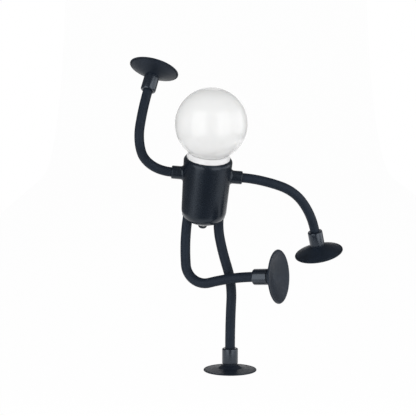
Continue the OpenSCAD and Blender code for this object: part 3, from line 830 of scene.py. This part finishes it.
class NIGHTLIGHT_OT_body(bpy.types.Operator):
    """Model the cup-shaped body, with its hip lips and the opening for the charging socket"""

    bl_idname = "nightlight.body"
    bl_label = "Body"

    def execute(self, context):
        body, limb = sizes()
        case = turned("body_case", body_outline(), closed=True)
        for side, _ in SIDES:
            hole = hip_frame(side) @ lifted(body.corner / 2)
            cut(case, round_cutter(limb.leg_diameter + 2 * FIT, 3 * body.corner, hole))
        shoulder_hole = 2 * (SPIGOT_RADIUS + FIT)
        cut(case, round_cutter(shoulder_hole, 2 * body.rim_diameter, shoulder_frame(1)))
        low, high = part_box("charging_socket")
        middle = body_frame().inverted() @ ((low + high) / 2)
        opening = Matrix.Translation((0, body.base_diameter / 2, middle.z))
        cut(case, settle(slot_cutter(), opening))
        join(case, hip_lip(-1), hip_lip(1))
        smooth(case)
        settle(case, body_frame())
        dress(case, moulded_black, "torso", "black_shell", "body_shell")
        return {"FINISHED"}


class NIGHTLIGHT_OT_globe(bpy.types.Operator):
    """Model the opal globe and the white collar that it sits on"""

    bl_idname = "nightlight.globe"
    bl_label = "Globe and collar"

    def execute(self, context):
        body, _ = sizes()
        seat = body.collar_top / 2
        neck = seat - NECK_INSET
        crease = body.height + body.collar_rise
        low = crease - body.neck_depth
        shade = turned("globe_shade", self.globe_outline(seat, neck, crease, low))
        settle(shade, body_frame())
        dress(shade, opal_white, "torso", "opal_globe", "globe")

        collar = turned("collar_ring", self.collar_outline(seat, neck, crease, low), closed=True)
        settle(collar, body_frame())
        dress(collar, collar_white, "torso", "white_collar", "globe_collar")
        return {"FINISHED"}

    def globe_outline(self, seat, neck, crease, low):
        """The globe from its top down the outside, round its neck and up the inside."""
        body, _ = sizes()
        radius = body.globe_diameter / 2
        inner = radius - body.globe_wall
        neck_bore = neck - body.globe_wall
        centre = (0, crease + math.sqrt(radius**2 - seat**2))
        lowest = -math.degrees(math.acos(seat / radius))
        inner_lowest = -math.degrees(math.acos(neck_bore / inner))
        outline = arc(centre, radius, 90, lowest, GLOBE_STEPS)
        outline += [(neck, crease), (neck, low), (neck_bore, low)]
        outline += arc(centre, inner, inner_lowest, 90, GLOBE_INSIDE_STEPS)
        outline[0] = (0, outline[0][1])
        outline[-1] = (0, outline[-1][1])
        return outline

    def collar_outline(self, seat, neck, crease, low):
        """The collar from its foot in the body up to the groove under the globe, and down its bore."""
        body, _ = sizes()
        bore = neck + 2 * FIT
        foot = body.height - body.collar_depth
        gap = body.mouth_inset + FIT
        top = crease - body.crease_gap
        shelf = body.collar_shelf / 2
        return rounded([
            (shelf, foot, 0),
            (body_radius(foot) - gap, foot, COLLAR_FOOT_ROUND),
            (body_radius(body.height) - gap, body.height, COLLAR_RIM_ROUND),
            (seat + COLLAR_OVERHANG, top, COLLAR_TOP_ROUND),
            (bore, top, 0),
            (bore, low - FIT, 0),
            (shelf, low - FIT, 0),
        ])


class NIGHTLIGHT_OT_sleeves(bpy.types.Operator):
    """Model the two shoulder sleeves, each with a moulded fillet at the body"""

    bl_idname = "nightlight.sleeves"
    bl_label = "Shoulder sleeves"

    def execute(self, context):
        outline = self.outline()
        for side, word in SIDES:
            sleeve = turned(f"{word}_sleeve", outline, closed=True)
            self.seat(sleeve, side)
            settle(sleeve, body_frame() @ shoulder_frame(side))
            dress(sleeve, moulded_black, "torso", "black_shell", f"{word}_shoulder_sleeve")
        return {"FINISHED"}

    def outline(self):
        """A sleeve from its spigot in the body, over its foot and fillet, to its tip and socket."""
        body, limb = sizes()
        wall = skin_radius(body.shoulder_height)
        tip = body_radius(body.shoulder_height) + body.sleeve_length
        outer = body.sleeve_diameter / 2
        socket = limb.arm_diameter / 2 + FIT
        bore = limb.bore_diameter / 2
        foot = wall - FOOT_SINK
        stop = wall + ARM_STOP
        edge = outer + body.sleeve_fillet + FOOT_MARGIN
        return rounded([
            (bore, SPIGOT_END, 0),
            (SPIGOT_RADIUS, SPIGOT_END, 0),
            (SPIGOT_RADIUS, foot, 0),
            (edge, foot, 0),
            (edge, wall, 0),
            (outer, wall, body.sleeve_fillet),
            (outer, tip, TIP_ROUND),
            (socket, tip, TIP_MOUTH_ROUND),
            (socket, stop, 0),
            (bore, stop, 0),
        ])

    def seat(self, sleeve, side):
        """Let the foot of a sleeve follow the round of the body."""
        body, _ = sizes()
        wall = skin_radius(body.shoulder_height)
        for vertex in sleeve.data.vertices:
            across, up, out = vertex.co.y, -side * vertex.co.x, vertex.co.z
            outside = math.hypot(across, up) > body.sleeve_diameter / 2 - MERGE
            if outside and out < wall + body.sleeve_fillet + MERGE:
                here = skin_radius(body.shoulder_height + up)
                vertex.co.z -= wall - math.sqrt(here**2 - across**2)


class NIGHTLIGHT_OT_button(bpy.types.Operator):
    """Model the push button under the body, and its bezel"""

    bl_idname = "nightlight.button"
    bl_label = "Button and bezel"

    def execute(self, context):
        body, _ = sizes()
        radius = body.button_diameter / 2
        flange = radius + BUTTON_FLANGE
        button = settle(turned("button_dome", self.button_outline(radius, flange)), body_frame())
        dress(button, moulded_black, "button", "button_cap", "push_button")

        ring = self.bezel_outline(radius + FIT, flange)
        trim = settle(turned("bezel_ring", ring, closed=True), body_frame())
        dress(trim, bezel_pale, "torso", "bezel_ring", "button_bezel")
        return {"FINISHED"}

    def button_outline(self, radius, flange):
        """The button from its rounded tip up to its flange and nub."""
        body, _ = sizes()
        tip = -body.bezel_height - body.button_rise
        seat = body.wall + FIT
        top = body.wall + FLANGE_TOP
        cap = rounded([(0, tip, 0), (radius, tip, body.button_round), (radius, 0, 0)])
        return cap + [
            (radius, seat),
            (flange, seat),
            (flange, top),
            (NUB_RADIUS, top),
            (NUB_RADIUS, NUB_TOP),
            (0, NUB_TOP),
        ]

    def bezel_outline(self, bore, flange):
        """The bezel from its bore round its end and up into the body."""
        body, _ = sizes()
        end = -body.bezel_height
        return rounded([
            (bore, end / 2, 0),
            (bore, end, BEZEL_BORE_ROUND),
            (body.bezel_end / 2, end, BEZEL_ROUND),
            (body.bezel_diameter / 2, 0, 0),
            (flange, 0, 0),
            (flange, body.wall, BEZEL_BORE_ROUND),
            (bore, body.wall, 0),
        ])


# The limbs, with their ferrules and cups


def limb_diameter(limb_name):
    _, limb = sizes()
    return limb.arm_diameter if limb_name.endswith("arm") else limb.leg_diameter


def limb_depths(limb_name):
    """How deep a limb goes into the sockets at its start and at its end."""
    body, limb = sizes()
    ferrule = limb.ferrule_socket - END_GAP
    hip = body.hip_depth - END_GAP
    if limb_name == "stand_leg":
        return ferrule, hip
    if limb_name == "kick_leg":
        return hip, ferrule
    return body.sleeve_length - ARM_STOP, ferrule


def limb_points(limb_name, first, last):
    """Points along a limb's middle line: from one stretch, or a share of it, to another."""
    frames = limb_chain(limb_name)
    stretches = STRETCHES[limb_name]
    before, after = limb_depths(limb_name)
    points = []
    if first == 0:
        points += [frames[0] @ Vector((0, 0, -before * k / END_STEPS)) for k in range(END_STEPS, 0, -1)]
    steps = round((last - first) * STRETCH_STEPS)
    for k in range(steps + 1):
        spot = first + (last - first) * k / steps
        n = min(len(stretches) - 1, int(spot))
        points.append((frames[n] @ along(stretches[n], LEANS[limb_name][n], spot - n)).translation)
    if last == len(stretches):
        points += [frames[-1] @ Vector((0, 0, after * k / END_STEPS)) for k in range(1, END_STEPS + 1)]
    return points


def bend_ends(frames, bend):
    """The points between which a stretch bends: past its ends, but never into a socket of the body."""
    start = frames[bend].translation
    end = frames[bend + 1].translation
    chord = end - start
    if bend == 0:
        return start, end + chord * SOCKET_REACH
    if bend == len(frames) - 2:
        return start - chord * SOCKET_REACH, end
    return start - chord * BEND_REACH, end + chord * BEND_REACH


class NIGHTLIGHT_OT_limbs(bpy.types.Operator):
    """Sweep the skin and the wire of each limb, in two lengths that bend at its two joints"""

    bl_idname = "nightlight.limbs"
    bl_label = "Limbs"

    def execute(self, context):
        for name, (bodies, bends, words) in LIMB_BENDS.items():
            self.limb(name, bodies, bends, words)
        return {"FINISHED"}

    def limb(self, name, bodies, bends, words):
        """Two lengths of skin and wire: each bends at one joint, and they meet where the limb is stiff."""
        frames = limb_chain(name)
        middle = (bends[0] + 1 + bends[1]) / 2
        nodes = [f"{name}_{part}" for part in (words[0], "upper", words[1], "lower")]
        halves = ((0, middle, nodes[:1]), (middle, len(LEANS[name]), nodes[1:]))
        for k, (first, last, stood_for) in enumerate(halves):
            points = limb_points(name, first, last)
            ends = bend_ends(frames, bends[k])
            skin = self.skin(f"{name}_skin_{k + 1}", points, limb_diameter(name))
            self.bend(skin, limb_rubber, bodies[k], bodies[k + 1], ends)
            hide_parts(*stood_for)
            wire = self.wire(f"{name}_wire_{k + 1}", points)
            self.bend(wire, drawn_steel, bodies[k], bodies[k + 1], ends)
            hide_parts(f"{name}_core")

    def skin(self, name, points, diameter):
        """A tube along points."""
        _, limb = sizes()
        skin = swept(name, points, diameter / 2, SKIN_SIDES)
        wall = (diameter - limb.bore_diameter) / 2
        apply_modifier(skin, "SOLIDIFY", thickness=wall, offset=-1.0, use_even_offset=True)
        smooth(skin)
        return skin

    def wire(self, name, points):
        _, limb = sizes()
        wire = swept(name, points, limb.wire_diameter / 2, WIRE_SIDES, capped=True)
        smooth(wire)
        return wire

    def bend(self, piece, make, near, far, ends):
        """Give a length its material, and bake its place into its mesh."""
        coat(piece, make)
        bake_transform(piece)


def ferrule_size(limb_name):
    """The outside radius and the length of a limb's ferrule."""
    _, limb = sizes()
    if limb_name.endswith("arm"):
        return limb.hand_ferrule_diameter / 2, limb.hand_ferrule_length
    return limb.foot_ferrule_diameter / 2, limb.foot_ferrule_length


class NIGHTLIGHT_OT_ferrules(bpy.types.Operator):
    """Model the ferrule at the end of each limb"""

    bl_idname = "nightlight.ferrules"
    bl_label = "Ferrules"

    def execute(self, context):
        for name, (end, body) in LIMB_ENDS.items():
            ferrule = settle(turned(f"{end}_ferrule_sleeve", self.outline(name)), cup_frame(name))
            dress(ferrule, ferrule_black, body, "ferrule_skin", f"{end}_ferrule")
        return {"FINISHED"}

    def outline(self, name):
        """A ferrule from the bottom of the limb's socket, over the outside, to that of the stem's hole."""
        _, limb = sizes()
        outer, tall = ferrule_size(name)
        entry = limb_diameter(name) / 2 + FIT
        stem = STEM_RADIUS + FIT
        stem_bottom = tall - STEM_LENGTH - FIT
        return rounded([
            (0, limb.ferrule_socket, 0),
            (entry, limb.ferrule_socket, 0),
            (entry, 0, FERRULE_MOUTH_ROUND),
            (outer, 0, FERRULE_NEAR_ROUND),
            (outer, tall, FERRULE_FAR_ROUND),
            (stem, tall, STEM_HOLE_ROUND),
            (stem, stem_bottom, 0),
            (0, stem_bottom, 0),
        ])


def cup_size(limb_name):
    """A cup's rim radius and height, and the depth and the roundness of its hollow."""
    _, limb = sizes()
    foot = limb.foot_cup_diameter / 2
    if limb_name == "stand_leg":
        return foot, limb.pressed_cup_height, limb.pressed_cup_hollow, limb.pressed_bowl
    if limb_name == "kick_leg":
        return foot, limb.free_cup_height, limb.free_cup_hollow, limb.free_bowl
    return limb.hand_cup_diameter / 2, limb.hand_cup_height, limb.free_cup_hollow, limb.free_bowl


def flared_back(rim, neck, height):
    """The back of a free cup, which flares evenly from its neck."""
    _, limb = sizes()
    back_end = (rim - BACK_INSET * limb.cup_bead - neck) / (rim - neck)
    back_height = height - limb.cup_rim - limb.cup_neck_height
    back = []
    for k in range(CUP_STEPS + 1):
        t = back_end * k / CUP_STEPS
        rise = 1 - (1 - t) ** limb.free_flare
        back.append((neck + (rim - neck) * t, limb.cup_neck_height + back_height * rise))
    return back


def pressed_back(rim, neck, height):
    """The back of the cup on the floor: a short cone, then a flat brim."""
    _, limb = sizes()
    brim = (neck + limb.pressed_cone, limb.cup_neck_height + limb.pressed_fall)
    edge = (rim - BACK_INSET * limb.cup_bead, height - limb.cup_rim)
    bend = rounded([(neck, limb.cup_neck_height, 0), (*brim, BRIM_ROUND), (*edge, 0)])
    return bend[:-1] + between(bend[-2], edge, CUP_STEPS) + bend[-1:]


def cup_outline(rim, height, hollow, bowl, neck, back):
    """A suction cup's outline: its stem, its back, a beaded rim and the hollow under it."""
    _, limb = sizes()
    bead = limb.cup_bead / 2
    edge = arc((rim - bead, height - bead), bead, BEAD_START, 90, BEAD_STEPS)
    hollow_radius = rim - limb.cup_lip
    under = []
    for k in range(CUP_STEPS + 1):
        t = k / CUP_STEPS
        under.append((hollow_radius * (1 - t), height - hollow * (1 - (1 - t) ** bowl)))
    stem = [(0, -STEM_LENGTH), (STEM_RADIUS, -STEM_LENGTH), (STEM_RADIUS, 0), (neck, 0)]
    return stem + back + edge + under


class NIGHTLIGHT_OT_cups(bpy.types.Operator):
    """Model the suction cup of each hand and foot"""

    bl_idname = "nightlight.cups"
    bl_label = "Suction cups"

    def execute(self, context):
        _, limb = sizes()
        for name, (end, body) in LIMB_ENDS.items():
            ferrule, tall = ferrule_size(name)
            rim, height, hollow, bowl = cup_size(name)
            neck = ferrule - limb.cup_neck_step
            back = (pressed_back if name == "stand_leg" else flared_back)(rim, neck, height)
            outline = cup_outline(rim, height, hollow, bowl, neck, back)
            cup = settle(turned(f"{end}_suction_cup", outline), cup_frame(name) @ lifted(tall))
            dress(cup, soft_rubber, body, "cup_rubber", f"{end}_cup")
        return {"FINISHED"}


class NIGHTLIGHT_OT_inside(bpy.types.Operator):
    """Give the pieces inside the body their finishes"""

    bl_idname = "nightlight.inside"
    bl_label = "Inside"

    def execute(self, context):
        for node, values in INSIDE_FINISHES.items():
            self.wear(node, plain_inside(*values))
        for node in STEEL_INSIDE:
            self.wear(node, finish(drawn_steel))
        return {"FINISHED"}

    def wear(self, node, material):
        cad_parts[node].material_slots[0].material = material


# The studio


def lamp(name, kind, side, power, mirrored):
    """A soft rectangular lamp on one side of the figure, which glossy surfaces mirror or not."""
    size, (across, back, up), aim = kind
    place = Vector((side * across, back, up))
    clear_selection()
    bpy.ops.object.light_add(type="AREA", location=place)
    light = bpy.context.object
    light.name = name
    light.data.shape = "RECTANGLE"
    light.data.size, light.data.size_y = size
    light.data.energy = power
    light.visible_glossy = mirrored
    light.rotation_euler = (Vector(aim) - place).to_track_quat("-Z", "Y").to_euler()


def worked_out(tree, operation, first, second):
    """The result of a sum on a socket and either another socket or a number."""
    node = tree.nodes.new("ShaderNodeMath")
    node.operation = operation
    tree.links.new(first, node.inputs[0])
    if isinstance(second, float):
        node.inputs[1].default_value = second
    else:
        tree.links.new(second, node.inputs[1])
    return node.outputs["Value"]


def white_when_seen(tree, lit, white, share, output, in_gloss=1.0):
    """Show plain white, by a share, to the camera and in reflections; other rays meet the lit shader.

    In gloss the white is held to where in_gloss is 1."""
    path = tree.nodes.new("ShaderNodeLightPath")
    mirrored = worked_out(tree, "MULTIPLY", path.outputs["Is Glossy Ray"], in_gloss)
    seen = worked_out(tree, "MAXIMUM", path.outputs["Is Camera Ray"], mirrored)
    seen = worked_out(tree, "MAXIMUM", seen, path.outputs["Is Transmission Ray"])
    mix = tree.nodes.new("ShaderNodeMixShader")
    tree.links.new(worked_out(tree, "MULTIPLY", seen, share), mix.inputs["Fac"])
    tree.links.new(lit.outputs[0], mix.inputs[1])
    tree.links.new(white.outputs[0], mix.inputs[2])
    tree.links.new(mix.outputs["Shader"], output.inputs["Surface"])


class NIGHTLIGHT_OT_stage(bpy.types.Operator):
    """Set up the floor, the backdrop, the lamps and the camera"""

    bl_idname = "nightlight.stage"
    bl_label = "Studio"

    def execute(self, context):
        settings = context.scene.night_light_stage
        self.floor(settings)
        self.world(settings)
        for side, word in SIDES:
            lamp(f"{word}_lamp", SIDE_LAMP, side, settings.side_power, mirrored=True)
            lamp(f"{word}_edge_lamp", EDGE_LAMP, side, settings.edge_power, mirrored=side > 0)
        lamp("top_lamp", TOP_LAMP, 1, settings.top_power, mirrored=False)
        self.camera(context.scene)
        context.scene.view_settings.view_transform = "Standard"
        return {"FINISHED"}

    def floor(self, settings):
        """A sheet that hangs over a table's front edge, lies on the table and sweeps up behind it."""
        clear_selection()
        bpy.ops.mesh.primitive_plane_add(size=1.0)
        sheet = bpy.context.object
        sheet.name = "studio_sheet"
        sheet.dimensions = (SHEET_WIDTH, TABLE_BACK - TABLE_FRONT, 0)
        sheet.location = (0, (TABLE_BACK + TABLE_FRONT) / 2, 0)
        bpy.ops.object.transform_apply(location=True, rotation=True, scale=True)
        self.fold(sheet, TABLE_BACK, BACKDROP_HEIGHT, SWEEP)
        self.fold(sheet, TABLE_FRONT, -APRON_HEIGHT, TABLE_EDGE)
        smooth(sheet)
        sheet.data.materials.append(self.sheet_white(settings))

    def fold(self, sheet, edge, rise, fillet):
        """Carry the sheet up or down from an edge of the table, with a round fold."""

        def at_edge(first, second):
            return all(abs(point.y - edge) < MERGE for point in (first, second))

        def at_fold(first, second):
            return at_edge(first, second) and all(abs(point.z) < MERGE for point in (first, second))

        select_edges(sheet, at_edge)
        bpy.ops.mesh.extrude_region_move(TRANSFORM_OT_translate={"value": (0, 0, rise)})
        bpy.ops.object.mode_set(mode="OBJECT")
        bevel_edges(sheet, at_fold, fillet, SWEEP_STEPS)

    def sheet_white(self, settings):
        """Matte white that the camera sees as nearly plain white."""
        material = bpy.data.materials.new("studio_white")
        material.use_nodes = True
        tree = material.node_tree
        shader = tree.nodes["Principled BSDF"]
        put(shader, Base_Color=SHEET_COLOUR, Roughness=SHEET_ROUGHNESS, Specular_IOR_Level=0.0)
        white = tree.nodes.new("ShaderNodeEmission")
        put(white, Color=WHITE)
        white_when_seen(tree, shader, white, settings.floor_white, tree.nodes["Material Output"])
        return material

    def world(self, settings):
        """A dim even light that the camera sees as white, and gloss only where the backdrop is."""
        world = bpy.data.worlds.new("studio")
        bpy.context.scene.world = world
        world.use_nodes = True
        tree = world.node_tree
        fill = tree.nodes["Background"]
        put(fill, Color=WHITE, Strength=settings.fill)
        white = tree.nodes.new("ShaderNodeBackground")
        put(white, Color=WHITE, Strength=1.0)
        way = tree.nodes.new("ShaderNodeSeparateXYZ")
        tree.links.new(tree.nodes.new("ShaderNodeTexCoord").outputs["Generated"], way.inputs["Vector"])
        behind = worked_out(tree, "GREATER_THAN", way.outputs["Y"], BACKDROP_VIEW)
        white_when_seen(tree, fill, white, 1.0, tree.nodes["World Output"], behind)

    def camera(self, scene):
        clear_selection()
        bpy.ops.object.camera_add(location=CAMERA_PLACE)
        camera = bpy.context.object
        camera.rotation_euler = (CAMERA_AIM - CAMERA_PLACE).to_track_quat("-Z", "Y").to_euler()
        camera.data.lens = CAMERA_LENS
        camera.data.sensor_width = CAMERA_SENSOR
        camera.data.clip_start = CAMERA_CLIP
        scene.camera = camera


class NIGHTLIGHT_PT_panel(bpy.types.Panel):
    """The night light's pieces and their sizes"""

    bl_label = "Night light"
    bl_idname = "NIGHTLIGHT_PT_panel"
    bl_space_type = "VIEW_3D"
    bl_region_type = "UI"
    bl_category = "Night light"

    def draw(self, context):
        for operator in OPERATORS:
            self.layout.operator(operator.bl_idname)
        for group in PROPERTY_HOLDERS:
            holder = getattr(context.scene, group)
            column = self.layout.column()
            for name in holder.__annotations__:
                column.prop(holder, name)


OPERATORS = (
    NIGHTLIGHT_OT_body,
    NIGHTLIGHT_OT_globe,
    NIGHTLIGHT_OT_sleeves,
    NIGHTLIGHT_OT_limbs,
    NIGHTLIGHT_OT_ferrules,
    NIGHTLIGHT_OT_cups,
    NIGHTLIGHT_OT_button,
    NIGHTLIGHT_OT_inside,
    NIGHTLIGHT_OT_stage,
)
PROPERTY_HOLDERS = {
    "night_light_body": BodySizes,
    "night_light_limbs": LimbSizes,
    "night_light_finishes": Finishes,
    "night_light_stage": StageSettings,
}


def register():
    for holder, group in PROPERTY_HOLDERS.items():
        bpy.utils.register_class(group)
        setattr(bpy.types.Scene, holder, bpy.props.PointerProperty(type=group))
    for operator in OPERATORS:
        bpy.utils.register_class(operator)
    bpy.utils.register_class(NIGHTLIGHT_PT_panel)


def unregister():
    bpy.utils.unregister_class(NIGHTLIGHT_PT_panel)
    for operator in reversed(OPERATORS):
        bpy.utils.unregister_class(operator)
    for holder, group in PROPERTY_HOLDERS.items():
        delattr(bpy.types.Scene, holder)
        bpy.utils.unregister_class(group)


def main():
    register()
    bpy.ops.nightlight.body()
    bpy.ops.nightlight.globe()
    bpy.ops.nightlight.sleeves()
    bpy.ops.nightlight.limbs()
    bpy.ops.nightlight.ferrules()
    bpy.ops.nightlight.cups()
    bpy.ops.nightlight.button()
    bpy.ops.nightlight.inside()
    bpy.ops.nightlight.stage()


if __name__ == "__main__":
    main()
